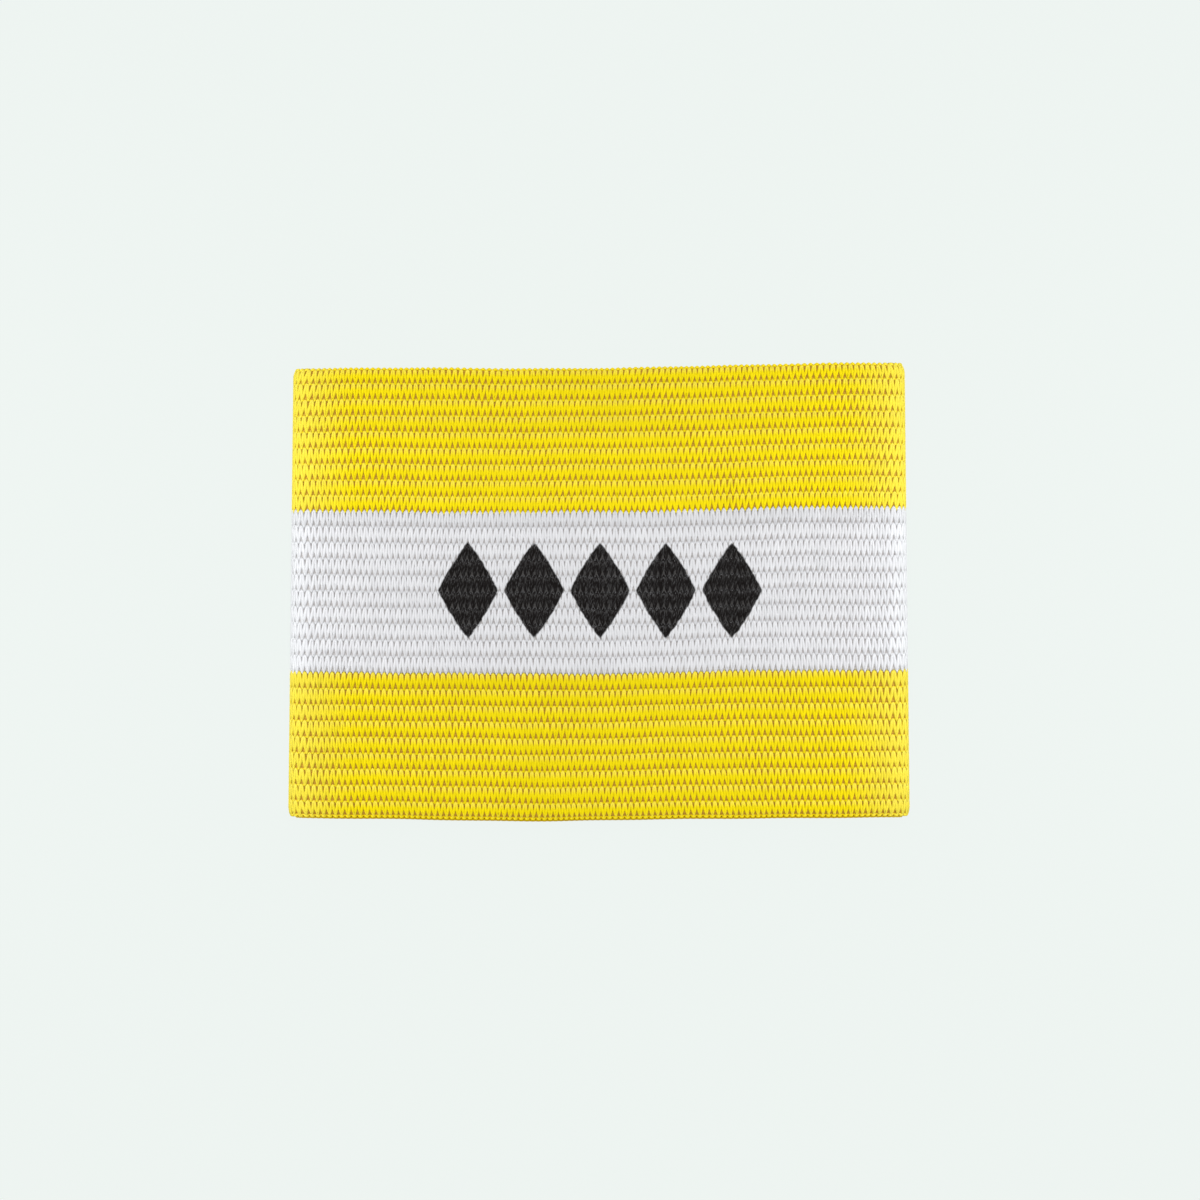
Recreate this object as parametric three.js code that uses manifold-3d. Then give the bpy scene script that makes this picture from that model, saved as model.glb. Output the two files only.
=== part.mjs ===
// Captain armband: a loop of ribbed knitted elastic webbing, lying flat.
// Millimetres, +Z up. X runs from fold to fold, Y across the band's height, Z through its thickness.
// The origin is on the surface that the band lies on, under the middle of its outline.
import * as THREE from 'three';
import { mergeVertices } from 'three/addons/utils/BufferGeometryUtils.js';
import Module from 'manifold-3d';

const wasm = await Module();
wasm.setup();

// Webbing: the first rib is drawn in at the upper edge, and loops of yarn turn round the last one
const ribPitch = 3.14;
const upperEdgeTuck = 0.13;
const lowerEdgeLoops = 0.11;
const grooveWidth = 1;
const grooveDepth = 0.3;
const wall = 1.5;

// Loop, as it lies
const flatWidth = 121;
const hollowHeight = 5;
const topSagShare = 0.09;

// Lapped seam at the middle of the back, closed by two rows of stitching
const lapLength = 13;
const rampLength = 9;
const rampClearance = 0.8;
const lapGap = 0.3;
const stitchRowWidth = 0.8;
const stitchRowInset = 2.6;

// Outline of the band as it lies: how far it departs from a rectangle
const taper = 2;
const cornerLift = 1;
const liftEndShare = 0.38;
const lowerBow = 0.6;
const bowCentreX = -12;
const bowHalfLength = 50;

// Colour stripes, from the upper edge to the lower one
const stripeGap = 0.3;
const yellowYarn = { color: 0xf2d70f, roughness: 0.72, metalness: 0 };
const whiteYarn = { color: 0xe4e4e7, roughness: 0.75, metalness: 0 };
const stripes = [
  { name: 'upper_stripe', ribs: 9, yarn: yellowYarn },
  { name: 'centre_stripe', ribs: 10, yarn: whiteYarn },
  { name: 'lower_stripe', ribs: 9, yarn: yellowYarn },
];

// Sizes that follow from the ones above
const stripeRibs = stripes.map(({ ribs }) => Array(ribs).fill(ribPitch));
stripeRibs.at(0)[0] -= upperEdgeTuck;
stripeRibs.at(-1)[stripes.at(-1).ribs - 1] += lowerEdgeLoops;
const stripeHeights = stripeRibs.map((heights) => heights.reduce((sum, height) => sum + height));
const bandHeight = stripeHeights.reduce((sum, height) => sum + height);
const foldRadius = hollowHeight / 2 + wall / 2;
const foldCentreX = flatWidth / 2 - foldRadius - wall / 2;
const backHeight = wall / 2;
const topHeight = backHeight + 2 * foldRadius;
const lapHeight = backHeight + wall + lapGap;
const topSag = topSagShare * hollowHeight;
const rampEndX = -lapLength / 2 - rampClearance;
const rampStartX = rampEndX - rampLength;

// A straight run of the webbing's middle line at one height, from one X to another.
function run(fromX, toX, height) {
  return (share) => new THREE.Vector3(THREE.MathUtils.lerp(fromX, toX, share), 0, height);
}

// A fold: half a turn of the middle line about a centre at centreX, anticlockwise from startAngle.
function fold(centreX, startAngle) {
  const centreZ = backHeight + foldRadius;
  return (share) => {
    const angle = startAngle + share * Math.PI;
    const x = centreX + foldRadius * Math.cos(angle);
    return new THREE.Vector3(x, 0, centreZ + foldRadius * Math.sin(angle));
  };
}

// The top layer, which sinks a little between the folds.
function saggingTop(share) {
  const x = THREE.MathUtils.lerp(foldCentreX, -foldCentreX, share);
  return new THREE.Vector3(x, 0, topHeight - topSag * Math.sin(share * Math.PI) ** 2);
}

// The climb of the inner end over the outer end of the lap.
function ramp(share) {
  const x = THREE.MathUtils.lerp(rampStartX, rampEndX, share);
  const rise = (lapHeight - backHeight) * THREE.MathUtils.smoothstep(share, 0, 1);
  return new THREE.Vector3(x, 0, backHeight + rise);
}

// The middle line of the webbing, once round the loop from the outer end of the lap to the inner end.
// Each stretch of it has its own number of steps.
const stretches = [
  { steps: 1, at: run(-lapLength / 2, lapLength / 2, backHeight) },
  { steps: 2, at: run(lapLength / 2, foldCentreX, backHeight) },
  { steps: 6, at: fold(foldCentreX, -Math.PI / 2) },
  { steps: 6, at: saggingTop },
  { steps: 6, at: fold(-foldCentreX, Math.PI / 2) },
  { steps: 2, at: run(-foldCentreX, rampStartX, backHeight) },
  { steps: 3, at: ramp },
  { steps: 1, at: run(rampEndX, lapLength / 2, lapHeight) },
];
const loopSteps = stretches.reduce((sum, stretch) => sum + stretch.steps, 0);

class LoopPath extends THREE.Curve {
  getPoint(t) {
    let steps = t * loopSteps;
    const last = stretches.length - 1;
    const index = stretches.findIndex((stretch, i) => {
      if (steps <= stretch.steps || i === last) return true;
      steps -= stretch.steps;
      return false;
    });
    return stretches[index].at(steps / stretches[index].steps);
  }

  // Stations follow the steps of the stretches, not equal lengths.
  getUtoTmapping(u) {
    return u;
  }
}

// The webbing cut across: ribs with flat crests on both faces and a groove between each two.
// X points out of the loop and Y up the band, from the middle of the stripe.
function ribbedSection(ribHeights, stripeHeight) {
  const edge = (stripeHeight - stripeGap) / 2;
  const crest = wall / 2;
  const valley = crest - grooveDepth;
  const face = [{ out: valley, up: -edge }];
  let low = -stripeHeight / 2;
  for (const ribHeight of ribHeights.toReversed()) {
    const high = low + ribHeight;
    face.push({ out: crest, up: low + grooveWidth / 2 });
    face.push({ out: crest, up: high - grooveWidth / 2 });
    face.push({ out: valley, up: Math.min(high, edge) });
    low = high;
  }
  const outerFace = face.map(({ out, up }) => new THREE.Vector2(out, up));
  const innerFace = face.map(({ out, up }) => new THREE.Vector2(-out, up)).reverse();
  return new THREE.Shape([...outerFace, ...innerFace]);
}

function toSolid(geometry) {
  const bare = geometry.clone();
  bare.deleteAttribute('normal');
  bare.deleteAttribute('uv');
  const merged = mergeVertices(bare, 1e-4);
  return new wasm.Manifold(new wasm.Mesh({
    numProp: 3,
    vertProperties: new Float32Array(merged.attributes.position.array),
    triVerts: new Uint32Array(merged.index.array),
  }));
}

function toGeometry(solid) {
  const mesh = solid.getMesh();
  const geometry = new THREE.BufferGeometry();
  geometry.setAttribute('position', new THREE.BufferAttribute(mesh.vertProperties, 3));
  geometry.setIndex(new THREE.BufferAttribute(mesh.triVerts, 1));
  return geometry;
}

// One row of stitching: it joins the two layers of the lap over the height of a stripe.
function stitchRow(stripeHeight, x) {
  const height = stripeHeight - stripeGap - grooveWidth;
  const row = new THREE.BoxGeometry(stitchRowWidth, height, lapHeight - backHeight);
  row.translate(x, 0, (backHeight + lapHeight) / 2);
  return row;
}

// Gives the straight loop the outline that it has as it lies: narrower at the upper edge,
// bowed along the lower edge and lifted at the upper right corner.
function settle(geometry, stripeY) {
  const position = geometry.attributes.position;
  for (let i = 0; i < position.count; i += 1) {
    const x = position.getX(i);
    const y = position.getY(i) + stripeY;
    const upShare = y / bandHeight + 0.5;
    const bowShare = THREE.MathUtils.clamp((x - bowCentreX) / bowHalfLength, -1, 1);
    const lift = cornerLift * upShare * THREE.MathUtils.smoothstep(x, 0, liftEndShare * flatWidth);
    const bow = lowerBow * (1 - upShare) * (1 - bowShare ** 2) ** 2;
    const centring = (lowerBow - cornerLift) / 2;
    position.setX(i, x * (1 - (taper / flatWidth) * (upShare - 0.5)));
    position.setY(i, y + lift - bow + centring - stripeY);
  }
}

function makeStripe({ name, yarn }, ribHeights, stripeHeight, stripeY) {
  const webbing = new THREE.ExtrudeGeometry(ribbedSection(ribHeights, stripeHeight), {
    steps: loopSteps,
    extrudePath: new LoopPath(),
  });
  const rowX = lapLength / 2 - stitchRowInset;
  const solid = toSolid(webbing)
    .add(toSolid(stitchRow(stripeHeight, -rowX)))
    .add(toSolid(stitchRow(stripeHeight, rowX)));
  const geometry = toGeometry(solid);
  settle(geometry, stripeY);
  const mesh = new THREE.Mesh(geometry, new THREE.MeshStandardMaterial(yarn));
  mesh.name = name;
  mesh.position.y = stripeY;
  return mesh;
}

const armband = new THREE.Group();
let stripeTop = bandHeight / 2;
stripes.forEach((stripe, index) => {
  const stripeHeight = stripeHeights[index];
  armband.add(makeStripe(stripe, stripeRibs[index], stripeHeight, stripeTop - stripeHeight / 2));
  stripeTop -= stripeHeight;
});

export default armband;
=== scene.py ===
"""A captain armband: a flat-lying loop of ribbed knitted elastic webbing with a lapped seam."""

import logging
import math
from collections.abc import Callable
from dataclasses import dataclass, field
from enum import Enum

import bmesh
import bpy
import numpy as np
from mathutils import Matrix, Vector


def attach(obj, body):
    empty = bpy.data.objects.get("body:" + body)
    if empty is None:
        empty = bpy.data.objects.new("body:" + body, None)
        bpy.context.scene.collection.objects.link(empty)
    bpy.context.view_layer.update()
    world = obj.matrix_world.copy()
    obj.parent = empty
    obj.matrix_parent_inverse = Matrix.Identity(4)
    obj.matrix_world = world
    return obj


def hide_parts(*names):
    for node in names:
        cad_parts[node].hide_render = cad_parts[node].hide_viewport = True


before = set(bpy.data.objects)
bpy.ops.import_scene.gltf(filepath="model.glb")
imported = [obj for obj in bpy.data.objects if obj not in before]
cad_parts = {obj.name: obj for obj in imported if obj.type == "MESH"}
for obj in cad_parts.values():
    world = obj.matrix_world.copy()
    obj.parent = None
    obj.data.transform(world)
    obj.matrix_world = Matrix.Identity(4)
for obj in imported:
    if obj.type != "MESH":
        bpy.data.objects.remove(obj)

LOG = logging.getLogger("armband")
MM = 0.001
BODY = "root"
ROW_STEP = 10.0  # between the straight tubes of an array, in tube radii
LAYOUT_MAP = "OFBake"
CLOSE = 1e-6  # a difference in units of strand that is only rounding
Array = np.ndarray
Colour = tuple[float, float, float]
Mesh = bpy.types.Mesh
Piece = bpy.types.Object


class Face(Enum):
    """The two faces of the webbing, by the way that they look from its middle."""

    OUTER = 1
    INNER = -1


class Slot(Enum):
    """Names of material slots."""

    YELLOW = "yellow_yarn"
    WHITE = "white_yarn"
    THREAD = "seam_thread"


def smoothstep(share: Array) -> Array:
    """Eases a share from 0 to 1, level at both ends."""
    share = np.clip(share, 0, 1)
    return share * share * (3 - 2 * share)


@dataclass(frozen=True)
class Wave:
    """One wave of a gentle field over the webbing.

    Attributes are its size, its lengths along and up the band, and its phase in turns.
    """

    size: float
    along: float
    up: float
    phase: float

    def at(self, along: Array, up: Array) -> Array:
        """The wave's value at places on the webbing."""
        return self.size * np.sin(2 * math.pi * (along / self.along + up / self.up + self.phase))


@dataclass
class BandLoop:
    """The loop as it lies: the webbing's middle surface and the way from flat strip to place."""

    wall: float = 1.5 * MM
    hollow_height: float = 5 * MM
    flat_width: float = 121 * MM
    band_height: float = 87.9 * MM
    top_sag_share: float = 0.09
    lap_length: float = 13 * MM
    ramp_length: float = 9 * MM
    ramp_clearance: float = 0.8 * MM
    lap_gap: float = 0.3 * MM
    taper: float = 2 * MM
    corner_lift: float = 1 * MM
    lift_end_share: float = 0.38
    lower_bow: float = 0.6 * MM
    bow_centre_x: float = -12 * MM
    bow_half_length: float = 50 * MM
    fold_droop: float = 1.1 * MM
    droop_reach: float = 17 * MM
    corner_draw: float = 0.6 * MM
    corner_reach: float = 1.8 * MM
    dips: tuple[Wave, ...] = (
        Wave(0.10 * MM, 38 * MM, -52 * MM, 0.10),
        Wave(0.08 * MM, -61 * MM, -74 * MM, 0.35),
        Wave(0.06 * MM, 23 * MM, 90 * MM, 0.60),
        Wave(0.05 * MM, 15 * MM, -21 * MM, 0.20),
    )
    length_at: Array = field(init=False)
    x_at: Array = field(init=False)
    z_at: Array = field(init=False)
    heading_at: Array = field(init=False)

    def __post_init__(self) -> None:
        """Measures along the middle line, once round from the outer end of the lap."""
        points = np.concatenate([np.stack(part, axis=1)[:-1] for part in self.stretches()])
        steps = np.diff(points, axis=0)
        self.length_at = np.concatenate([[0], np.cumsum(np.hypot(*steps.T))])
        self.x_at, self.z_at = points.T
        slope = np.gradient(points, self.length_at, axis=0)
        self.heading_at = np.unwrap(np.arctan2(slope[:, 1], slope[:, 0]))

    @property
    def fold_radius(self) -> float:
        """Radius of the middle line in the folds."""
        return (self.hollow_height + self.wall) / 2

    @property
    def fold_x(self) -> float:
        """Distance of each fold's centre from the middle of the band."""
        return self.flat_width / 2 - self.fold_radius - self.wall / 2

    @property
    def strip_length(self) -> float:
        """Length of the strip of webbing, lap included."""
        return float(self.length_at[-1])

    @property
    def total_height(self) -> float:
        """Height of the lying loop, from the surface under it to its highest crests."""
        return self.hollow_height + 2 * self.wall

    def stretches(self) -> list[tuple[Array, Array]]:
        """The middle line's stretches in order, as X and Z of closely spaced points.

        Returns:
            One pair of arrays for each stretch. Each starts where the one before it ends.
        """
        count = 600
        share = np.linspace(0, 1, count + 1)
        back, radius = self.wall / 2, self.fold_radius
        lap_z = back + self.wall + self.lap_gap
        ramp_end = -self.lap_length / 2 - self.ramp_clearance
        ramp_start = ramp_end - self.ramp_length

        def run(start: float, end: float, height: float) -> tuple[Array, Array]:
            """A straight stretch at one height."""
            return start + (end - start) * share, np.full(count + 1, height)

        def fold(centre: float, turn: float) -> tuple[Array, Array]:
            """Half a turn about a fold's centre."""
            angle = (turn + share) * math.pi
            return centre + radius * np.cos(angle), back + radius * (1 + np.sin(angle))

        sag = self.top_sag_share * self.hollow_height * np.sin(share * math.pi) ** 2
        top_x = self.fold_x * (1 - 2 * share)
        ramp_x = ramp_start + self.ramp_length * share
        ramp_z = back + (lap_z - back) * smoothstep(share)
        return [
            run(-self.lap_length / 2, self.fold_x, back),
            fold(self.fold_x, -0.5),
            (top_x, back + 2 * radius - sag),
            fold(-self.fold_x, 0.5),
            run(-self.fold_x, ramp_start, back),
            (ramp_x, ramp_z),
            run(ramp_end, self.lap_length / 2, lap_z),
        ]

    def along_at_lap(self, x: float, face: Face) -> float:
        """Place along the strip of a point in the lap.

        Args:
            x: the point's distance from the middle of the lap.
            face: OUTER for the outer end of the strip, INNER for its inner end.

        Returns:
            The length along the strip, from its outer end.
        """
        if face is Face.OUTER:
            return x + self.lap_length / 2
        return self.strip_length - self.lap_length / 2 + x

    def place(self, along: Array, up: Array, out: Array) -> Array:
        """Lays points of the flat strip on the loop.

        Args:
            along: lengths along the strip.
            up: heights up the band, from its middle.
            out: distances from the middle surface, outwards.

        Returns:
            The points, one row each.
        """
        heading = np.interp(along, self.length_at, self.heading_at)
        x = np.interp(along, self.length_at, self.x_at) + out * np.sin(heading)
        z = np.interp(along, self.length_at, self.z_at) - out * np.cos(heading)
        up_share = up / self.band_height + 0.5
        across = 2 * x / self.flat_width
        lift = self.corner_lift * up_share * smoothstep(x / (self.lift_end_share * self.flat_width))
        bow_share = np.clip((x - self.bow_centre_x) / self.bow_half_length, -1, 1)
        bow = self.lower_bow * (1 - up_share) * (1 - bow_share**2) ** 2
        centring = (self.lower_bow - self.corner_lift) / 2
        depth = sum(wave.size + wave.at(x, up) for wave in self.dips)
        top_share = smoothstep(2 * z / self.total_height - 1)
        fold_share = np.clip(1 - (self.flat_width / 2 - abs(x)) / self.droop_reach, 0, 1)
        droop = self.fold_droop * fold_share**2 * np.clip(z / self.total_height, 0, 1)
        depth = depth * top_share * (1 - np.clip(across, -1, 1) ** 4)
        edge_share = np.clip(1 - (self.band_height / 2 - abs(up)) / self.corner_reach, 0, 1)
        x = x * (1 - 2 * self.corner_draw / self.flat_width * edge_share**2 * abs(across) ** 8)
        x = x * (1 - self.taper / self.flat_width * (up_share - 0.5))
        return np.stack([x, up + lift - bow + centring, z - depth - droop], axis=1)


@dataclass(frozen=True)
class YarnStation:
    """A place on half a stitch of the zigzag yarn, between its head and its foot.

    Attributes are the share of the stitch pitch across, the share of the rib pitch down, how
    deep the yarn has sunk below the rib's crest, and its width as a share of the full one.
    """

    across: float
    down: float
    sunk: float
    wide: float


# The columns are across, down, sunk and wide.
OUTER_STITCH = (
    YarnStation(0.00, -0.02, 0.03 * MM, 1.00),
    YarnStation(0.15, 0.08, 0.01 * MM, 1.02),
    YarnStation(0.19, 0.28, 0.00 * MM, 1.08),
    YarnStation(0.26, 0.53, 0.00 * MM, 1.37),
    YarnStation(0.44, 0.92, 0.01 * MM, 0.94),
    YarnStation(0.50, 1.05, 0.01 * MM, 1.00),
)
INNER_STITCH = (
    YarnStation(0.00, -0.04, 0.12 * MM, 0.85),
    YarnStation(0.25, 0.45, 0.01 * MM, 1.25),
    YarnStation(0.50, 1.12, 0.12 * MM, 0.85),
)


@dataclass
class Knit:
    """The knitted structure: its ribs, its stitches and how far each strays from its place.

    Where a value has three parts, they are for the three stripes, the upper one first:
    stripe_slack is how far its ribs lie below their even places, fullness how wide its yarn is,
    and foot_slimness how much narrower it gets towards its feet.
    """

    loop: BandLoop
    stitches: int = 232
    ribs: tuple[int, ...] = (9, 10, 9)
    rib_pitch: float = 3.14 * MM
    upper_edge_tuck: float = 0.13 * MM
    first_rib_share: float = 0.85
    last_rib_share: float = 0.85
    stripe_slack: tuple[float, ...] = (0.07 * MM, -0.25 * MM, -0.10 * MM)
    yarn_width: float = 0.60 * MM
    yarn_thickness: float = 0.46 * MM
    yarn_top: float = 0.36  # above the yarn's middle, in its thicknesses
    yarn_length: float = 2.2  # of one stitch, in rib pitches
    crest_sunk: float = 0.01 * MM
    ground: float = 0.36 * MM
    seam_inset: float = 2.6 * MM
    seam_dent: float = 0.14 * MM
    seam_dent_width: float = 0.7 * MM
    lean_top: float = 0.11
    lean_bottom: float = -0.09
    fullness: tuple[float, ...] = (1.02, 1.10, 1.02)
    foot_slimness: tuple[float, ...] = (0.20, 0.04, 0.20)
    stray_across: float = 0.018
    stray_down: float = 0.014
    stray_width: float = 0.05
    border_painted_shade: float = 2.5
    rib_shade: float = 0.7
    # where the last rib's feet turn back to the painted highlight of the heads
    last_feet_highlight: float = 1.15
    seed: int = 11
    drift: tuple[Wave, ...] = (
        Wave(0.38 * MM, 71 * MM, 64 * MM, 0.15),
        Wave(0.22 * MM, 33 * MM, -41 * MM, 0.40),
        Wave(0.12 * MM, -17 * MM, 23 * MM, 0.75),
    )
    lean: tuple[Wave, ...] = (
        Wave(0.07 * MM, 47 * MM, 83 * MM, 0.2),
        Wave(0.04 * MM, 19 * MM, -60 * MM, 0.6),
    )

    @property
    def stitch_pitch(self) -> float:
        """Length of one stitch along the strip."""
        return self.loop.strip_length / self.stitches

    @property
    def rib_count(self) -> int:
        """Number of ribs in the whole band."""
        return sum(self.ribs)

    @property
    def crest(self) -> float:
        """Distance of the ribs' crests from the middle surface."""
        return self.loop.wall / 2 - self.crest_sunk

    def first_rib(self, stripe: int) -> int:
        """Number of the first rib of a stripe, counted from the band's upper edge."""
        return sum(self.ribs[:stripe])

    def rib_foot(self, rib: Array) -> Array:
        """Height up the band of the lower line of each rib."""
        first = self.rib_pitch - self.upper_edge_tuck
        upper, lower = self.ribs[0] - 1, self.ribs[0] + self.ribs[1] - 1
        known = (upper - 1, upper + 1, lower - 1, lower + 1)
        slack = np.interp(rib, known, np.repeat(self.stripe_slack, (1, 2, 1)))
        return self.loop.band_height / 2 - first - slack - rib * self.rib_pitch

    def up_at(self, rib: Array, down: Array) -> Array:
        """Height up the band at a share of a rib, where 0 is its upper line and 1 its lower one."""
        first = np.where(rib == 0, self.first_rib_share, 1.0)
        last = np.where(rib == self.rib_count - 1, self.last_rib_share, 1.0)
        return self.rib_foot(rib) + (1 - down * last) * first * self.rib_pitch

    def foot_lean(self, rib: Array) -> Array:
        """How far each rib's stitches lean along the strip from head to foot, in stitches."""
        share = rib / (self.rib_count - 1)
        return self.lean_top + (self.lean_bottom - self.lean_top) * share

    def seam_lines(self) -> list[float]:
        """Places along the strip of the rows of stitching, in both ends of the lap."""
        reach = self.loop.lap_length / 2 - self.seam_inset
        return [self.loop.along_at_lap(x, face) for face in Face for x in (-reach, reach)]

    def dent(self, along: Array) -> Array:
        """How far the rows of stitching draw the face in."""
        spread = [(along - line) / self.seam_dent_width for line in self.seam_lines()]
        return self.seam_dent * sum(np.exp(-(share**2)) for share in spread)

    def strayed(self, along: Array, up: Array) -> tuple[Array, Array]:
        """Moves places on the strip by the slow drift of the stitches."""
        moved_along = along + sum(wave.at(along, up) for wave in self.drift)
        moved_up = up + sum(wave.at(along, up) for wave in self.lean)
        return moved_along, moved_up


def ring_tube(sides: int, steps: int) -> bmesh.types.BMesh:
    """A straight open tube of radius 1 from X = 0 to X = 1.

    Args:
        sides: number of sides round the tube.
        steps: number of steps along it.

    Returns:
        The tube, as a new bmesh.
    """
    tube = bmesh.new()
    first = math.pi / 2 - math.pi / sides
    turned = Matrix.Rotation(math.pi / 2, 4, "Y") @ Matrix.Rotation(first, 4, "Z")
    bmesh.ops.create_circle(tube, segments=sides, radius=1, matrix=turned)
    rim = list(tube.edges)
    for _ in range(steps):
        made = bmesh.ops.extrude_edge_only(tube, edges=rim)["geom"]
        ring = [item for item in made if isinstance(item, bmesh.types.BMVert)]
        bmesh.ops.translate(tube, verts=ring, vec=(1 / steps, 0, 0))
        rim = [item for item in made if isinstance(item, bmesh.types.BMEdge)]
    return tube


def new_object(name: str, data: bpy.types.ID) -> Piece:
    """Puts a mesh, a lamp or a camera in the scene, both data and object under one name."""
    data.name = name
    made = bpy.data.objects.new(name, data)
    bpy.context.scene.collection.objects.link(made)
    return made


def as_mesh(shape: bmesh.types.BMesh) -> Mesh:
    """Turns a bmesh into a mesh, and frees it."""
    mesh = bpy.data.meshes.new("shape")
    shape.to_mesh(mesh)
    shape.free()
    return mesh


def arrayed(unit: bmesh.types.BMesh, copies: int, rows: int) -> Mesh:
    """Repeats a unit tube end to end and in rows.

    Args:
        unit: the open unit tube. It is freed.
        copies: number of units in each row, joined end to end.
        rows: number of rows.

    Returns:
        The joined mesh.
    """
    mesh = as_mesh(unit)
    block = new_object("unit", mesh)
    for name, count, step, merged in (
        ("copies", copies, (1, 0, 0), True),
        ("rows", rows, (0, ROW_STEP, 0), False),
    ):
        array = block.modifiers.new(name, "ARRAY")
        array.count = count
        array.use_relative_offset = False
        array.use_constant_offset = True
        array.constant_offset_displace = step
        array.use_merge_vertices = merged
        array.merge_threshold = 1e-4
    shaped = block.evaluated_get(bpy.context.evaluated_depsgraph_get())
    result = bpy.data.meshes.new_from_object(shaped)
    bpy.data.objects.remove(block)
    bpy.data.meshes.remove(mesh)
    return result


def closed_mesh(mesh: Mesh, weld: float = 0.0) -> None:
    """Joins points within the weld distance, closes open ends and smooths outward faces."""
    shell = bmesh.new()
    shell.from_mesh(mesh)
    if weld:
        bmesh.ops.remove_doubles(shell, verts=list(shell.verts), dist=weld)
    open_edges = [edge for edge in shell.edges if edge.is_boundary]
    bmesh.ops.holes_fill(shell, edges=open_edges, sides=0)
    bmesh.ops.recalc_face_normals(shell, faces=list(shell.faces))
    for face in shell.faces:
        face.smooth = True
    shell.to_mesh(mesh)
    shell.free()


def read_points(mesh: Mesh) -> Array:
    """The mesh's points, one row each."""
    points = np.zeros(len(mesh.vertices) * 3, np.float32)
    mesh.vertices.foreach_get("co", points)
    return points.reshape(-1, 3).astype(float)


def write_points(mesh: Mesh, points: Array) -> None:
    """Moves the mesh's points."""
    mesh.vertices.foreach_set("co", points.astype(np.float32).ravel())
    mesh.update()


def write_attribute(mesh: Mesh, name: str, *values: Array) -> None:
    """Stores a vector for each point of the mesh, from its three values."""
    layer = mesh.attributes.new(name, "FLOAT_VECTOR", "POINT")
    layer.data.foreach_set("vector", np.stack(values, axis=1).astype(np.float32).ravel())


@dataclass
class StrandRows:
    """Rows of round strands, made straight as an array of one unit and then laid in place.

    Attributes are the number of units in a row, of rows, of sides, of steps in each unit and of
    bands to a row on the UV map, the twist in radians to the metre, and shares of the map.
    """

    units: int
    rows: int
    sides: int
    steps: int
    bands: int = 12
    twist: float = 900.0
    band_start: float = 0.008
    band_length: float = 0.99
    band_height: float = 0.8
    cap_places: tuple[float, float] = (0.002, 0.006)
    cap_width: float = 0.0015
    cap_height: float = 0.3

    def straight(self) -> Mesh:
        """The straight rows."""
        return arrayed(ring_tube(self.sides, self.steps), self.units, self.rows)

    def read(self, mesh: Mesh) -> tuple[Array, Array, Array, Array]:
        """What each point of the straight rows stands for.

        Args:
            mesh: the straight rows.

        Returns:
            The distance along the row in units, the row, and the cosine and sine of the angle
            round the strand, from its side towards the outside of the webbing.
        """
        x, y, z = read_points(mesh).T
        row = np.rint(y / ROW_STEP)
        return np.rint(x * self.steps) / self.steps, row.astype(int), y - row * ROW_STEP, z

    def finish(self, mesh: Mesh, points: Array, unit_length: float) -> None:
        """Lays the rows in place, closes them and gives them the finish's coordinates.

        Args:
            mesh: the straight rows.
            points: the place of each of its points.
            unit_length: about how long one unit of strand is.
        """
        unit, row, side, out = self.read(mesh)
        write_points(mesh, points)
        closed_mesh(mesh)
        length = unit * unit_length
        turn = np.arctan2(out, side) + self.twist * length
        write_attribute(mesh, "strand", length, np.cos(turn), np.sin(turn))
        self.lay_out(mesh, unit, row, np.arctan2(out, side) / (2 * math.pi) % 1)

    def lay_out(self, mesh: Mesh, unit: Array, row: Array, turn: Array) -> None:
        """Unrolls each row of strand into strips of a UV map, side by side.

        Args:
            mesh: the rows in place.
            unit: distance along the row of each point, in units.
            row: row of each point.
            turn: share of a turn round the strand of each point.
        """
        corner = np.zeros(len(mesh.loops), np.int32)
        mesh.loops.foreach_get("vertex_index", corner)
        start = np.zeros(len(mesh.polygons), np.int32)
        mesh.polygons.foreach_get("loop_start", start)
        count = np.diff(np.append(start, len(corner)))
        low = np.repeat(np.minimum.reduceat(unit[corner], start), count)
        high = np.repeat(np.maximum.reduceat(unit[corner], start), count)
        turn_high = np.repeat(np.maximum.reduceat(turn[corner], start), count)
        around = turn[corner] + ((turn_high - turn[corner]) > 0.5)
        in_band = math.ceil(self.units / self.bands)
        band = np.floor((low + high) / 2 / in_band - CLOSE * (low == high)).clip(0)
        strip = row[corner] * self.bands + band
        strips = self.rows * self.bands
        is_cap = high - low < CLOSE
        angle = 2 * math.pi * turn[corner]
        across = self.band_start + self.band_length * (unit[corner] - band * in_band) / in_band
        cap_across = np.where(low > 0, *self.cap_places[::-1]) + self.cap_width * np.cos(angle)
        up = (1 - self.band_height) / 2 + self.band_height * around / (1 + 1 / self.sides)
        up = np.where(is_cap, 0.5 + self.cap_height * np.sin(angle), up)
        places = np.stack([np.where(is_cap, cap_across, across), (strip + up) / strips], axis=1)
        layer = mesh.uv_layers.new(name=LAYOUT_MAP)
        layer.data.foreach_set("uv", places.astype(np.float32).ravel())


@dataclass
class LaidPiece:
    """A piece that is worked out on the flat strip and laid on the loop."""

    name: str
    knit: Knit

    def shape(self) -> Mesh:
        """The piece's mesh, in place."""
        raise NotImplementedError

    def build(self) -> Piece:
        """Models the piece.

        Returns:
            The piece, without its finish.
        """
        return new_object(self.name, self.shape())


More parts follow.
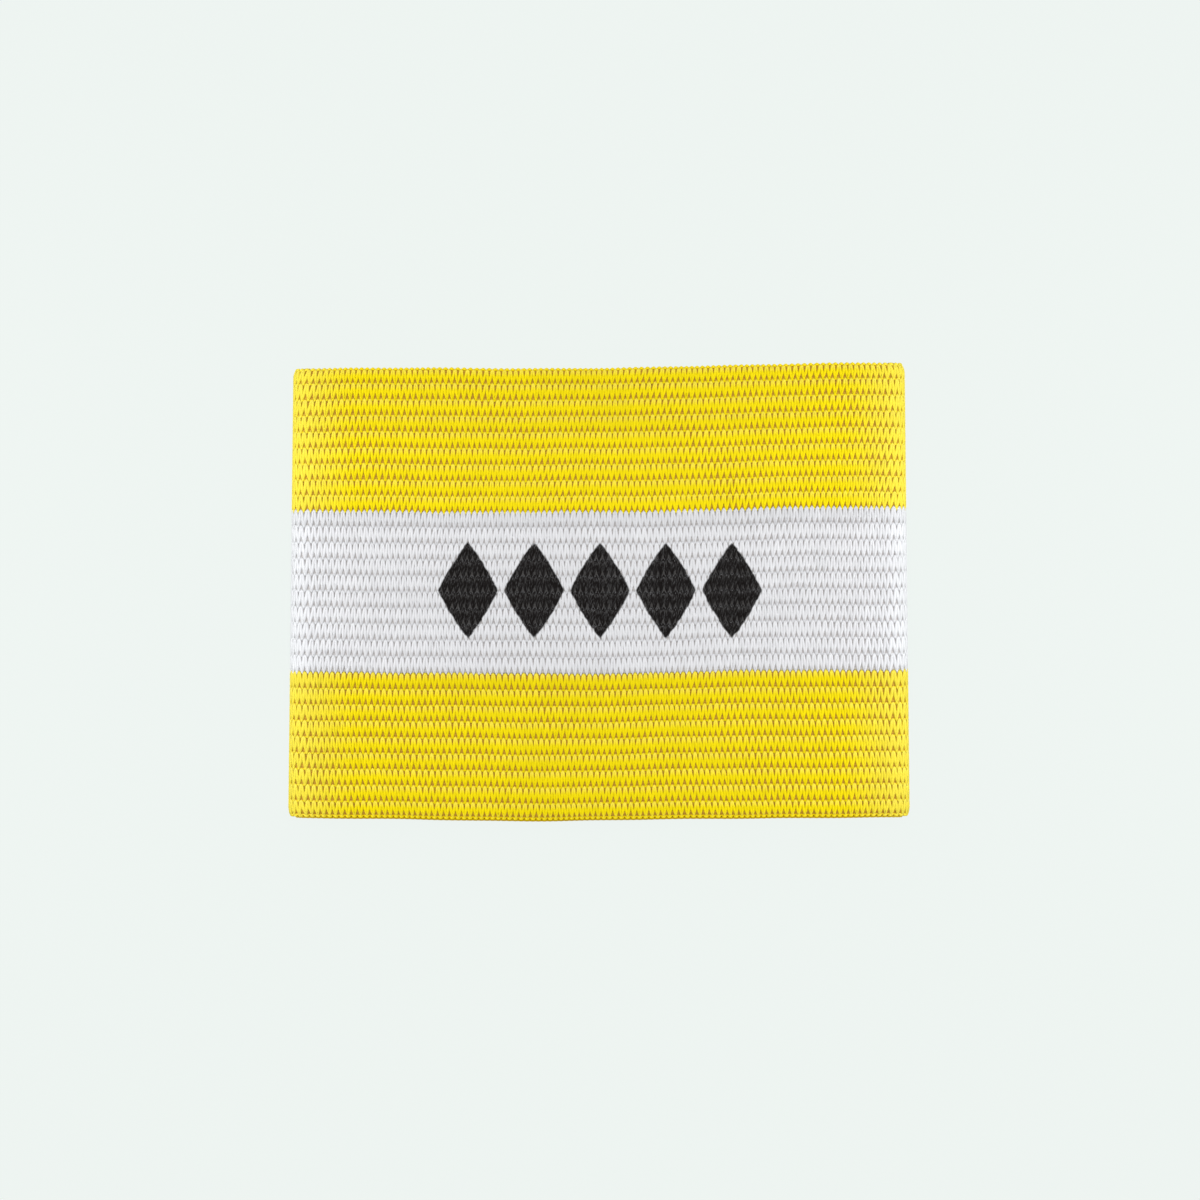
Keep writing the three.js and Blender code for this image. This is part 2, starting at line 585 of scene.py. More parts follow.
@dataclass
class YarnFace(LaidPiece):
    """The zigzag yarns of one stripe's ribs on one face of the webbing."""

    stripe: int
    face: Face

    def __post_init__(self) -> None:
        """Chooses the stitch and draws how far each stitch strays."""
        outer = self.face is Face.OUTER
        self.stations = OUTER_STITCH if outer else INNER_STITCH
        steps = 2 * (len(self.stations) - 1)
        rows = self.knit.ribs[self.stripe]
        self.rows = StrandRows(self.knit.stitches, rows, sides=4, steps=steps)
        draw = np.random.default_rng(self.knit.seed + 10 * self.stripe + self.face.value)
        shape = (2, rows, self.knit.stitches + 2, 3)
        sizes = (self.knit.stray_across, self.knit.stray_down, self.knit.stray_width)
        self.heads, self.feet = np.clip(draw.normal(0, 1, shape), -2, 2) * sizes
        self.shades = draw.normal(0, 1, (rows, self.knit.stitches + 2))
        # Painted shade: the first rib of each stripe below a border is darker.
        if self.stripe > 0:
            self.shades[0] -= self.knit.border_painted_shade

    def route(self, unit: Array, row: Array) -> tuple[Array, Array, Array, Array]:
        """The middle of the yarn.

        Args:
            unit: places along each row, in stitches.
            row: row of each place, from the stripe's upper edge.

        Returns:
            Its length along the strip, its height up the band, how deep it has sunk, and its
            width as a share of the full one.
        """
        steps = self.rows.steps
        stitch = np.floor(unit + CLOSE).astype(int)
        step = np.rint((unit - stitch) * steps).astype(int)
        rising = step > steps // 2
        index = np.where(rising, steps - step, step)
        table = np.array([[s.across, s.down, s.sunk, s.wide] for s in self.stations])
        across, down, sunk, wide = table[index].T
        across = np.where(rising, 1 - across, across)
        foot_share = (index / (steps // 2))[:, None]
        head = self.heads[row, np.clip(stitch + rising, 0, self.knit.stitches)]
        foot = self.feet[row, np.clip(stitch, 0, self.knit.stitches)]
        stray = head * (1 - foot_share) + foot * foot_share
        rib = row + self.knit.first_rib(self.stripe)
        lean = self.face.value * self.knit.foot_lean(rib) * (down - 0.5)
        along = (stitch + across + lean + stray[:, 0]) * self.knit.stitch_pitch
        up = self.knit.up_at(rib, down + stray[:, 1])
        along, up = self.knit.strayed(along, up)
        slim = self.knit.foot_slimness[self.stripe] * smoothstep(2 * down - 1) * (down < 1)
        return along, up, sunk, wide * (self.knit.fullness[self.stripe] - slim + stray[:, 2])

    def shape(self) -> Mesh:
        """The yarns in place."""
        knit = self.knit
        mesh = self.rows.straight()
        unit, row, side, out = self.rows.read(mesh)
        along, up, sunk, wide = self.route(unit, row)
        before = self.route(np.maximum(unit - 1 / self.rows.steps, 0), row)
        after = self.route(np.minimum(unit + 1 / self.rows.steps, knit.stitches), row)
        run, rise = after[0] - before[0], after[1] - before[1]
        slant = np.hypot(run, rise)
        reach = side * wide * knit.yarn_width / 2
        along = np.clip(along - rise / slant * reach, 0, knit.loop.strip_length)
        up = up + run / slant * reach
        middle = knit.crest - knit.yarn_top * knit.yarn_thickness - sunk - knit.dent(along)
        height = middle + out * knit.yarn_thickness / 2
        points = knit.loop.place(along, up, self.face.value * height)
        self.rows.finish(mesh, points, knit.yarn_length * knit.rib_pitch)
        depth = (height - knit.ground) / (knit.crest - knit.ground)
        shade = self.shades[row, np.rint(unit).astype(int)] + knit.rib_shade * self.shades[row, -1]
        down = self.down_share(unit)
        # Painted highlight: the last rib's feet count as heads again, so they turn pale like the
        # heads.
        turned = row + knit.first_rib(self.stripe) == knit.rib_count - 1
        down = np.where(turned, np.minimum(down, knit.last_feet_highlight - down), down)
        write_attribute(mesh, "knit", depth, down, shade)
        return mesh

    def down_share(self, unit: Array) -> Array:
        """Share of the way from head to foot of places along the yarn."""
        turn = 2 * np.abs(unit - np.rint(unit))
        places = np.linspace(0, 1, len(self.stations))
        return np.interp(turn, places, [station.down for station in self.stations])


@dataclass
class EdgeLoops(LaidPiece):
    """The yarn that turns round one edge of the band in small loops, a strand on each face.

    Each strand waves between hump and dip, which are distances from the edge, and lies hump_out
    and dip_out below the crests there. Of the inner strand, inner_wave is the share of the wave
    that it has, and inner_shift how far it shows past the outer one.
    """

    upper: bool
    hump: float
    dip: float
    hump_out: float = 0.05 * MM
    dip_out: float = 0.32 * MM
    thickness: float = 0.42 * MM
    swell: float = 0.45
    blunt: float = 0.9
    yarn_length: float = 1.4  # of one loop, in stitch pitches
    # also sets how much painted highlight and painted foot shade the yarn's finish gives the
    # strands
    shown_as: float = 0.3  # share of the way from a stitch's head to its foot
    inner_wave: float = 1.0
    inner_shift: float = 0.0
    lit_at_dip: float = 0.1
    lit_at_hump: float = 0.85
    shaded_rim: float = 0.0
    inner_shade: float = 1.5

    def shape(self) -> Mesh:
        """Both strands in place."""
        knit, loop = self.knit, self.knit.loop
        rows = StrandRows(knit.stitches, len(Face), sides=8, steps=8)
        mesh = rows.straight()
        unit, row, side, out = rows.read(mesh)
        edge = loop.band_height / 2 * (1 if self.upper else -1)
        inwards = -1 if self.upper else 1
        wave = np.where(row == 0, 1.0, self.inner_wave)

        def raised_at(at: Array) -> Array:
            """Share of the way from dip to hump."""
            return 1 - wave * (0.5 + 0.5 * np.cos(2 * math.pi * at))

        def route(at: Array) -> tuple[Array, Array]:
            """Length along the strip and height up the band of the strand's middle."""
            inset = self.dip + (self.hump - self.dip) * raised_at(at) ** self.blunt
            up = edge + inwards * (inset - self.inner_shift * row)
            return knit.strayed(at * knit.stitch_pitch, up)

        step = 0.25 / rows.steps
        along, up = route(unit)
        before, after = route(unit - step), route(unit + step)
        run, rise = after[0] - before[0], after[1] - before[1]
        slant = np.hypot(run, rise)
        face = np.where(row == 0, Face.OUTER.value, Face.INNER.value)
        raised = raised_at(unit)
        thickness = self.thickness * (1 + self.swell * raised)
        reach = side * thickness / 2
        sunk = self.dip_out + (self.hump_out - self.dip_out) * raised
        middle = knit.crest - self.thickness / 2 - sunk
        height = middle + out * thickness / 2
        along = np.clip(along - rise / slant * reach, 0, loop.strip_length)
        points = loop.place(along, up + run / slant * reach, face * height)
        rows.finish(mesh, points, self.yarn_length * knit.stitch_pitch)
        # Painted light and shade: lit_at_dip and lit_at_hump lift the strands out of the deep
        # colour, shaded_rim darkens the outer strand towards the edge and the inner strand.
        outer_rim = np.clip(-inwards * side, 0, 1)
        rim = self.shaded_rim * np.where(row == 0, outer_rim, self.inner_shade)
        least = self.lit_at_dip + (self.lit_at_hump - self.lit_at_dip) * raised * (row == 0)
        depth = np.maximum((height - knit.ground) / (knit.crest - knit.ground), least)
        down = np.full(len(depth), self.shown_as)
        write_attribute(mesh, "knit", depth * (1 - rim), down, 0 * down)
        return mesh


@dataclass
class WebGround(LaidPiece):
    """The inlaid ground of one stripe, which shows between the stitches of both faces.

    It rises a little under each rib, and in a narrow ridge of binding yarn between each two.
    """

    stripe: int
    rib_rise: float = 0.05 * MM
    rib_shares: tuple[float, float] = (0.36, 0.64)
    ridge_rise: float = 0.26 * MM
    ridge_share: float = 0.08
    dent_share: float = 0.5
    band_inset: float = 0.4 * MM
    edge_inset: float = 0.05 * MM
    run_step: float = 2.2 * MM
    fold_step: float = 0.55 * MM
    fold_bend: float = 0.6
    fine_count: int = 5000

    def stations(self) -> Array:
        """Lengths along the strip, close together where it bends."""
        loop = self.knit.loop
        fine = np.linspace(0, loop.strip_length, self.fine_count)
        heading = np.interp(fine, loop.length_at, loop.heading_at)
        bend = np.abs(np.gradient(heading, fine)) * loop.fold_radius
        step = np.interp(bend, [0.0, self.fold_bend], [self.run_step, self.fold_step])
        count = np.concatenate([[0], np.cumsum(np.diff(fine) / step[1:])])
        return np.interp(np.linspace(0, count[-1], round(count[-1]) + 1), count, fine)

    def section(self) -> tuple[Array, Array, Array]:
        """The ground cut across.

        Returns:
            Height up the band, distance from the middle surface and share of the way up a
            ridge, once round the section.
        """
        knit = self.knit
        first = knit.first_rib(self.stripe)
        last = first + knit.ribs[self.stripe] - 1
        up, rise, ridge = [], [], []
        for rib in range(first, last + 1):
            foot, head = knit.rib_foot(rib), knit.rib_foot(rib - 1)
            head = min(head, knit.loop.band_height / 2 - self.band_inset)
            for share in (0.0, self.ridge_share, *self.rib_shares, 1 - self.ridge_share):
                up.append(head + (foot - head) * share)
                rise.append(self.rib_rise * math.sin(share * math.pi))
                ridge.append(1.0 if share == 0 and rib > 0 else 0.0)
        foot = knit.rib_foot(last)
        up.append(foot + (self.band_inset if last == knit.rib_count - 1 else 0))
        rise.append(0.0)
        ridge.append(0.0)
        up[0] -= self.edge_inset
        up[-1] += self.edge_inset
        out = knit.ground + np.array(rise) + self.ridge_rise * np.array(ridge)
        return (
            np.concatenate([up, up[::-1], up[:1]]),
            np.concatenate([out, -out[::-1], out[:1]]),
            np.concatenate([ridge, ridge[::-1], ridge[:1]]),
        )

    def shape(self) -> Mesh:
        """The ground in place: a grid that is closed round its section."""
        stations = self.stations()
        up, out, ridge = self.section()
        sheet = bmesh.new()
        bmesh.ops.create_grid(
            sheet, x_segments=len(stations) - 1, y_segments=len(up) - 1, size=0.5
        )
        mesh = as_mesh(sheet)
        x, y, _ = read_points(mesh).T
        station = np.rint((x + 0.5) * (len(stations) - 1)).astype(int)
        place = np.rint((y + 0.5) * (len(up) - 1)).astype(int)
        along = stations[station]
        drawn_in = np.sign(out[place]) * self.dent_share * self.knit.dent(along)
        moved_up = self.knit.strayed(along, up[place])[1]
        points = self.knit.loop.place(along, moved_up, out[place] - drawn_in)
        write_points(mesh, points)
        write_attribute(mesh, "flat", along, up[place], ridge[place])
        closed_mesh(mesh, weld=1e-4 * MM)
        return mesh


@dataclass
class SeamStitching(LaidPiece):
    """Two rows of lockstitch across the lap, as they show on one of its sides."""

    face: Face
    stitch_length: float = 2.6 * MM
    thickness: float = 0.34 * MM
    end_margin: float = 1.6 * MM
    hole_depth: float = 0.62 * MM
    hole_share: float = 0.16
    slack: float = 0.10 * MM

    def shape(self) -> Mesh:
        """Both rows in place."""
        knit, loop = self.knit, self.knit.loop
        length = loop.band_height - 2 * self.end_margin
        count = round(length / self.stitch_length)
        rows = StrandRows(count, rows=2, sides=6, steps=12, bands=1)
        mesh = rows.straight()
        unit, row, side, out = rows.read(mesh)
        lines = knit.seam_lines()[:2] if self.face is Face.OUTER else knit.seam_lines()[2:]
        share = unit % 1
        near_hole = np.minimum(share, 1 - share)
        sunk = self.hole_depth * (1 - smoothstep(near_hole / self.hole_share))
        skew = self.slack * np.sin(2 * math.pi * unit) * np.where(row == 0, 1, -1)
        along = np.array(lines)[row] + skew + side * self.thickness / 2
        up = -length / 2 + unit / count * length
        middle = knit.crest - self.thickness / 2 - sunk
        height = middle + out * self.thickness / 2
        points = loop.place(along, up, self.face.value * height)
        rows.finish(mesh, points, self.stitch_length)
        return mesh


def math_operator(operation: str, swapped: bool = False) -> Callable[..., "Signal"]:
    """A method of Signal that adds a Math node, with its values swapped if asked."""

    def apply(*values: "Signal | float") -> "Signal":
        """Adds the node to the first value's board."""
        inputs = dict(enumerate(values[::-1] if swapped else values))
        return values[0].board.node("ShaderNodeMath", {"operation": operation}, inputs)

    return apply


class Signal:
    """A value in a material that Python's operators work on, by adding Math nodes."""

    __add__ = __radd__ = math_operator("ADD")
    __sub__ = math_operator("SUBTRACT")
    __rsub__ = math_operator("SUBTRACT", swapped=True)
    __mul__ = __rmul__ = math_operator("MULTIPLY")
    __truediv__ = math_operator("DIVIDE")
    __pow__ = math_operator("POWER")
    __abs__ = math_operator("ABSOLUTE")
    sine = math_operator("SINE")
    wrap = math_operator("WRAP")

    def __init__(self, board: "Board", socket: bpy.types.NodeSocket) -> None:
        """Wraps an output socket of one board."""
        self.board = board
        self.socket = socket

    def wrapped(self, low: float, high: float) -> "Signal":
        """The value brought into a range by whole steps of its width."""
        return self.wrap(high, low)

    def eased(self, low: float, high: float) -> "Signal":
        """0 at low, 1 at high and eased between them."""
        settings = {"interpolation_type": "SMOOTHSTEP"}
        return self.board.node("ShaderNodeMapRange", settings, {0: self, 1: low, 2: high})


class Board:
    """A material's node tree and the one way to add nodes to it, which is added."""

    def __init__(self, name: str) -> None:
        """Makes an empty material."""
        self.material = bpy.data.materials.new(name)
        self.material.use_nodes = True
        self.tree = self.material.node_tree
        self.tree.nodes.clear()

    def added(self, kind: str, settings: dict, inputs: dict) -> bpy.types.Node:
        """Adds a node.

        Args:
            kind: the node's type.
            settings: its settings, which are set first.
            inputs: a value or link for each socket, by name or number.

        Returns:
            The node.
        """
        made = self.tree.nodes.new(kind)
        for key, value in settings.items():
            setattr(made, key, value)
        for key, value in inputs.items():
            if isinstance(value, Signal):
                self.tree.links.new(value.socket, made.inputs[key])
            else:
                made.inputs[key].default_value = value
        return made

    def node(self, kind: str, settings: dict, inputs: dict, output: int | str = 0) -> Signal:
        """Adds a node for the sake of one output, which is given by name or number."""
        return Signal(self, self.added(kind, settings, inputs).outputs[output])

    def attribute(self, name: str) -> tuple[Signal, Signal, Signal, Signal]:
        """A stored vector and its three values."""
        vector = self.node("ShaderNodeAttribute", {"attribute_name": name}, {}, "Vector")
        return vector, *self.split(vector)

    def split(self, vector: Signal) -> tuple[Signal, Signal, Signal]:
        """The three values of a vector."""
        outputs = self.added("ShaderNodeSeparateXYZ", {}, {0: vector}).outputs
        return tuple(Signal(self, output) for output in outputs)

    def place(self) -> Signal:
        """The place on the piece, in metres."""
        return self.node("ShaderNodeTexCoord", {}, {}, "Object")

    def scaled(self, vector: Signal, by: tuple[float, float, float]) -> Signal:
        """A vector multiplied value by value."""
        return self.node("ShaderNodeVectorMath", {"operation": "MULTIPLY"}, {0: vector, 1: by})

    def noise(self, vector: Signal, scale: float, detail: float = 2.0) -> Signal:
        """Soft noise from 0 to 1, with about scale spots to the metre or unit."""
        inputs = {"Vector": vector, "Scale": scale, "Detail": detail}
        return self.node("ShaderNodeTexNoise", {}, inputs, "Fac")

    def mix(self, share: Signal | float, first: Signal | tuple, second: Signal | tuple) -> Signal:
        """A colour between two, by share."""
        first, second = (v if isinstance(v, Signal) else (*v, 1.0) for v in (first, second))
        settings = {"data_type": "RGBA", "clamp_factor": True}
        return self.node("ShaderNodeMix", settings, {0: share, 6: first, 7: second}, 2)

    def brightened(self, colour: Signal | tuple, by: Signal) -> Signal:
        """A colour multiplied by a value."""
        grey = self.node("ShaderNodeCombineXYZ", {}, {0: by, 1: by, 2: by})
        return self.node("ShaderNodeVectorMath", {"operation": "MULTIPLY"}, {0: colour, 1: grey})

    def bump(self, height: Signal, distance: float, strength: float) -> Signal:
        """A bumped normal from a height."""
        inputs = {"Height": height, "Distance": distance, "Strength": strength}
        return self.node("ShaderNodeBump", {}, inputs)

    def surface(self, inputs: dict) -> bpy.types.Material:
        """Ends the material in a Principled shader.

        Args:
            inputs: values and links of the shader's sockets, by name.

        Returns:
            The finished material.
        """
        shader = self.node("ShaderNodeBsdfPrincipled", {}, inputs)
        self.added("ShaderNodeOutputMaterial", {}, {"Surface": shader})
        return self.material


@dataclass(frozen=True)
class DiamondPrint:
    """Ink on the front: a row of plain upright diamonds in the middle of the centre stripe."""

    count: int = 5
    pitch: float = 12.9 * MM
    width: float = 11.6 * MM
    height: float = 18.6 * MM
    middle_x: float = 0.2 * MM
    middle_y: float = 0.3 * MM
    lowest_z: float = 5.5 * MM
    corner: float = 1.12
    soft_edge: float = 0.16 * MM
    ragged: float = 0.5 * MM
    row_margin: float = 0.1 * MM
    front_blend: float = 0.5 * MM
    ink: Colour = (0.0048, 0.0034, 0.0030)

    def cover(self, board: Board) -> Signal:
        """How much of the place is inked, from 0 to 1.

        Args:
            board: the material that takes the ink.

        Returns:
            The cover.
        """
        place = board.place()
        x, y, z = board.split(place)
        x, y = x - self.middle_x, y - self.middle_y
        shift = 0.0 if self.count % 2 else self.pitch / 2
        x_share = abs((x + shift).wrapped(-self.pitch / 2, self.pitch / 2)) / (self.width / 2)
        y_share = abs(y) / (self.height / 2)
        norm = (x_share**self.corner + y_share**self.corner) ** (1 / self.corner)
        steep = self.width / 2 * self.height / math.hypot(self.width, self.height)
        stray = (board.noise(place, 900.0, 3.0) - 0.5) * self.ragged
        inside = ((norm - 1.0) * steep + stray).eased(self.soft_edge, -self.soft_edge)
        reach = self.count * self.pitch / 2
        in_row = abs(x).eased(reach + self.row_margin, reach)
        on_front = z.eased(self.lowest_z, self.lowest_z + self.front_blend)
        return inside * in_row * on_front


@dataclass(frozen=True)
class YarnFinish:
    """Dyed, textured polyester yarn: filaments along the strand, painted shade where it lies deep.

    It has a painted highlight at the stitches' heads, painted shade down towards their feet and
    painted light on the feet, and a painted sheen near the folds.
    """

    name: str
    dye: Colour
    # the colour of the painted shade where the yarn lies deep
    deep: Colour
    # the colour of the painted highlight on the stitches' heads
    pale: Colour
    # the colour of the painted sheen near the folds
    fold_sheen: Colour
    roughness: float = 0.62
    sheen: float = 0.02
    foot: tuple[float, float] = (0.84, 1.05)
    # painted light on the stitches' feet
    foot_light: float = 0.10
    fold: tuple[float, float] = (47 * MM, 61 * MM)
    printed: DiamondPrint | None = None

    def material(self) -> bpy.types.Material:
        """Builds the material."""
        board = Board(self.name)
        strand = board.attribute("strand")[0]
        _, depth, down, shade = board.attribute("knit")
        place = board.place()
        filaments = board.noise(board.scaled(strand, (900.0, 3.2, 3.2)), 1.0, 3.0)
        fuzz = board.noise(place, 9000.0, 2.0)
        mottle = board.noise(place, 55.0, 2.0)
        # Painted shade: where the yarn lies deep it takes the darker deep colour.
        lit = depth.eased(0.05, 0.75)
        colour = board.mix(lit, self.deep, self.dye)
        # Painted highlight: the crests of the stitches' heads turn pale.
        head_highlight = down.eased(0.45, 0.0) * depth.eased(0.65, 1.0) * (filaments + 0.3)
        colour = board.mix(head_highlight * 0.45, colour, self.pale)
        # Painted sheen: the yarn turns paler towards the folds, more where it lies high.
        across = abs(board.split(place)[0])
        fold_sheen_share = across.eased(*self.fold) * (lit * 0.4 + 0.2)
        colour = board.mix(fold_sheen_share, colour, self.fold_sheen)
        # Painted shade: a little darker down towards the feet; foot_light adds painted light on the
        # feet.
        value = 0.90 + filaments * 0.14 + fuzz * 0.06 + mottle * 0.08 - down * 0.03
        value = value + shade * 0.014 + down.eased(*self.foot) * self.foot_light
        colour = board.brightened(colour, value)
        rough = self.roughness - 0.06 + filaments * 0.12
        if self.printed:
            missed = board.noise(board.scaled(strand, (1400.0, 2.4, 2.4)), 1.0, 2.0)
            hold = (depth + (missed - 0.5) * 0.5).eased(0.16, 0.42)
            cover = self.printed.cover(board) * hold
            worn = (missed - 0.5).eased(-0.02, 0.22) * (down.eased(0.32, 0.02) * 0.16 + 0.07)
            colour = board.mix(cover * (1 - worn), colour, self.printed.ink)
            rough = rough + cover * 0.08
        relief = filaments + fuzz * 0.4
        return board.surface(
            {
                "Base Color": colour,
                "Roughness": rough,
                "Normal": board.bump(relief, 0.03 * MM, 0.5),
                "Sheen Weight": self.sheen,
                "Sheen Roughness": 0.4,
                "Specular IOR Level": 0.08,
            }
        )


@dataclass(frozen=True)
class GroundFinish:
    """The ground behind the stitches: covered rubber cords along the ribs, and binding yarn."""

    name: str
    strand: Colour
    shadow: Colour
    binding: Colour
    printed: DiamondPrint | None = None
    wrap_pitch: float = 0.45 * MM
    cord_pitch: float = 0.52 * MM

    def material(self) -> bpy.types.Material:
        """Builds the material."""
        board = Board(self.name)
        _, along, up, ridge = board.attribute("flat")
        place = board.place()
        wraps = self.waves(along, self.wrap_pitch)
        cords = self.waves(up, self.cord_pitch)
        grain = board.noise(place, 5200.0, 3.0)
        colour = board.mix(cords * 0.6 + wraps * 0.25 + grain * 0.3 - 0.1, self.shadow, self.strand)
        colour = board.mix(ridge.eased(0.1, 0.7), colour, self.binding)
        if self.printed:
            colour = board.mix(self.printed.cover(board) * 0.85, colour, self.printed.ink)
        return board.surface(
            {
                "Base Color": colour,
                "Roughness": 0.75 + grain * 0.15,
                "Normal": board.bump(cords + wraps * 0.4 + grain * 0.3, 0.06 * MM, 0.7),
                "Specular IOR Level": 0.25,
            }
        )

    @staticmethod
    def waves(value: Signal, pitch: float) -> Signal:
        """Rounded ridges across a value, one to each pitch."""
        return (value * (2 * math.pi / pitch)).sine() * 0.5 + 0.5


@dataclass(frozen=True)
class ThreadFinish:
    """Spun polyester sewing thread, twisted from two plies."""

    name: str
    dye: Colour

    def material(self) -> bpy.types.Material:
        """Builds the material."""
        board = Board(self.name)
        strand = board.attribute("strand")[0]
        plies = board.noise(board.scaled(strand, (1500.0, 1.6, 1.6)), 1.0, 2.0)
        fuzz = board.noise(board.place(), 8000.0, 2.0)
        colour = board.brightened(self.dye, 0.75 + plies * 0.5)
        return board.surface(
            {
                "Base Color": colour,
                "Roughness": 0.45 + fuzz * 0.2,
                "Normal": board.bump(plies + fuzz * 0.3, 0.04 * MM, 0.6),
                "Sheen Weight": 0.2,
            }
        )


def dress(pieces: list[Piece], material: bpy.types.Material) -> None:
    """Gives pieces their material and ties them to the body."""
    for piece in pieces:
        piece.data.materials.append(material)
        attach(piece, BODY)


@dataclass
class Stripe:
    """One colour stripe of the webbing: its ground and its yarns on both faces."""

    name: str
    node: str
    stripe: int
    knit: Knit
    slot: Slot
    yarn: YarnFinish
    ground: GroundFinish
    edge: EdgeLoops | None = None

    def build(self) -> list[Piece]:
        """Builds the stripe, dresses it and ties it to the model.

        Returns:
            Its pieces.
        """
        web = WebGround(f"{self.name}_web", self.knit, self.stripe).build()
        yarns = [
            YarnFace(f"{self.name}_{face.name.lower()}_yarn", self.knit, self.stripe, face).build()
            for face in Face
        ]
        if self.edge:
            yarns.append(self.edge.build())
        dress([web], self.ground.material())
        dress(yarns, self.yarn.material())
        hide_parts(self.node)
        heads = self.knit.rib_foot(self.knit.first_rib(self.stripe) - 1)
        feet = self.knit.rib_foot(self.knit.first_rib(self.stripe + 1) - 1)
        return [web, *yarns]


@dataclass
class Seam:
    """The stitching of the lap, on the side below it and on the side inside the loop."""

    knit: Knit
    finish: ThreadFinish

    def build(self) -> list[Piece]:
        """Builds the stitching, dresses it and ties it to the model.

        Returns:
            Its pieces.
        """
        pieces = [
            SeamStitching("seam_thread_below", self.knit, Face.OUTER).build(),
            SeamStitching("seam_thread_inside", self.knit, Face.INNER).build(),
        ]
        dress(pieces, self.finish.material())
        return pieces


@dataclass(frozen=True)
class SoftBox:
    """A soft lamp, aimed at the band.

    Attributes are its compass angle, its height angle, its distance, its sides and its power.
    """

    name: str
    azimuth: float
    elevation: float
    distance: float
    size: tuple[float, float]
    power: float

    def build(self) -> None:
        """Places the lamp."""
        lamp = bpy.data.lights.new(self.name, "AREA")
        lamp.shape = "RECTANGLE"
        lamp.size, lamp.size_y = self.size
        lamp.energy = self.power
        around, up = math.radians(self.azimuth), math.radians(self.elevation)
        level = math.cos(up)
        towards = Vector((math.cos(around) * level, math.sin(around) * level, math.sin(up)))
        holder = new_object(self.name, lamp)
        holder.location = towards * self.distance
        holder.rotation_euler = towards.to_track_quat("Z", "Y").to_euler()
        holder.visible_camera = False


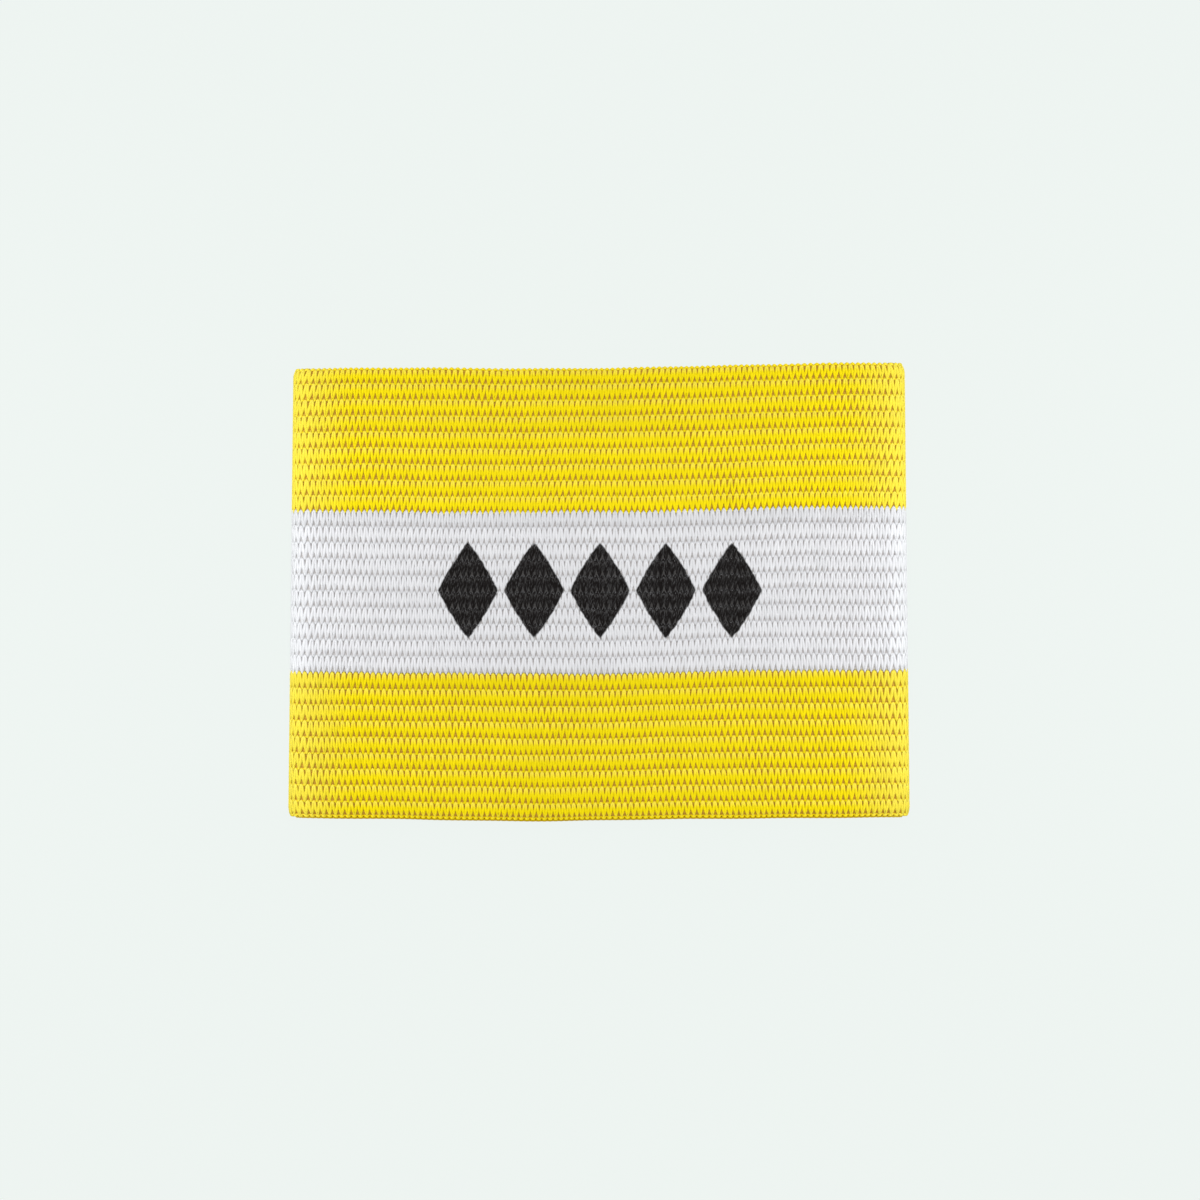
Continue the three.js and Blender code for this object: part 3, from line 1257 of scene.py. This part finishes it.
@dataclass
class Studio:
    """The pale floor, the soft light and the camera straight above the band."""

    millimetres_per_pixel: float = 0.1959
    picture_pixels: int = 1200
    middle_column: float = 599.0
    middle_row: float = 592.0
    scale_plane: float = 5 * MM
    lens: float = 135.0
    sensor: float = 36.0
    farthest: float = 20.0
    floor_side: float = 6.0
    floor_gap: float = 0.05 * MM
    floor_colour: Colour = (0.015, 0.016, 0.0155)
    floor_glow: Colour = (0.838, 0.889, 0.863)
    sky_colour: Colour = (0.98, 0.99, 1.0)
    sky_strength: float = 0.46
    lamps: tuple[SoftBox, ...] = (
        SoftBox("lamp_left", 176.0, 24.0, 0.165, (0.14, 0.08), 0.10),
        SoftBox("lamp_right", 4.0, 24.0, 0.155, (0.14, 0.08), 0.09),
        SoftBox("lamp_top", 90.0, 80.0, 1.4, (1.2, 0.6), 10.7),
    )

    def build(self) -> None:
        """Builds the floor, the lamps, the sky and the camera."""
        self.build_floor()
        for lamp in self.lamps:
            lamp.build()
        self.build_sky()
        self.build_camera()
        view = bpy.context.scene.view_settings
        view.view_transform = "Standard"
        view.look = "None"

    def build_floor(self) -> None:
        """Makes the floor, a hair below the band."""
        shape = bmesh.new()
        bmesh.ops.create_grid(shape, x_segments=1, y_segments=1, size=self.floor_side / 2)
        bmesh.ops.translate(shape, verts=list(shape.verts), vec=(0, 0, -self.floor_gap))
        floor = new_object("floor", as_mesh(shape))
        inputs = {
            "Base Color": (*self.floor_colour, 1.0),
            "Roughness": 0.9,
            "Specular IOR Level": 0.0,
            "Emission Color": (*self.floor_glow, 1.0),
            "Emission Strength": 1.0,
        }
        floor.data.materials.append(Board("floor_paper").surface(inputs))

    def build_sky(self) -> None:
        """Lights the scene evenly from all sides."""
        world = bpy.data.worlds.new("sky")
        world.use_nodes = True
        background = world.node_tree.nodes["Background"]
        background.inputs["Color"].default_value = (*self.sky_colour, 1.0)
        background.inputs["Strength"].default_value = self.sky_strength
        bpy.context.scene.world = world

    def build_camera(self) -> None:
        """Hangs the camera over the point that the picture's middle shows."""
        half = self.picture_pixels / 2
        scale = self.millimetres_per_pixel * MM
        x = (half - self.middle_column) * scale
        y = (self.middle_row - half) * scale
        camera = bpy.data.cameras.new("camera")
        camera.lens = self.lens
        camera.sensor_width = self.sensor
        camera.clip_end = self.farthest
        distance = self.picture_pixels * scale * self.lens / self.sensor
        holder = new_object("camera", camera)
        holder.location = (x, y, self.scale_plane + distance)
        bpy.context.scene.camera = holder


def main() -> None:
    """Builds the armband and its studio."""
    logging.basicConfig(level=logging.INFO, format="%(name)s: %(message)s")
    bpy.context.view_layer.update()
    knit = Knit(BandLoop())
    ink = DiamondPrint()
    yellow_dye, white_dye = (0.81, 0.645, 0.0), (0.67, 0.67, 0.685)
    yellow = YarnFinish(
        "yellow_yarn", yellow_dye, (0.64, 0.42, 0.004), (0.87, 0.75, 0.16), (0.78, 0.66, 0.085)
    )
    white = YarnFinish(
        "white_yarn", white_dye, (0.68, 0.665, 0.66), (0.68, 0.69, 0.71), (0.69, 0.70, 0.72),
        printed=ink,
    )
    yellow_ground = GroundFinish(
        "yellow_ground", (0.64, 0.39, 0.04), (0.45, 0.24, 0.03), yellow_dye
    )
    white_ground = GroundFinish(
        "white_ground", (0.63, 0.61, 0.60), (0.50, 0.475, 0.465), white_dye, ink
    )
    upper_edge = EdgeLoops("upper_edge_loops", knit, upper=True, hump=0.18 * MM, dip=0.55 * MM)
    lower_edge = EdgeLoops(
        "lower_edge_loops", knit, upper=False, hump=0.46 * MM, dip=0.70 * MM, inner_wave=0.15,
        inner_shift=0.24 * MM, lit_at_dip=0.45, lit_at_hump=1.0, shaded_rim=0.55,
    )
    stripes = [
        Stripe("upper", "upper_stripe", 0, knit, Slot.YELLOW, yellow, yellow_ground, upper_edge),
        Stripe("centre", "centre_stripe", 1, knit, Slot.WHITE, white, white_ground),
        Stripe("lower", "lower_stripe", 2, knit, Slot.YELLOW, yellow, yellow_ground, lower_edge),
    ]
    thread = ThreadFinish("seam_thread", (0.86, 0.62, 0.015))
    for part in (*stripes, Seam(knit, thread)):
        for piece in part.build():
            LOG.info("%s: %d faces", piece.name, len(piece.data.polygons))
    Studio().build()


if __name__ == "__main__":
    main()
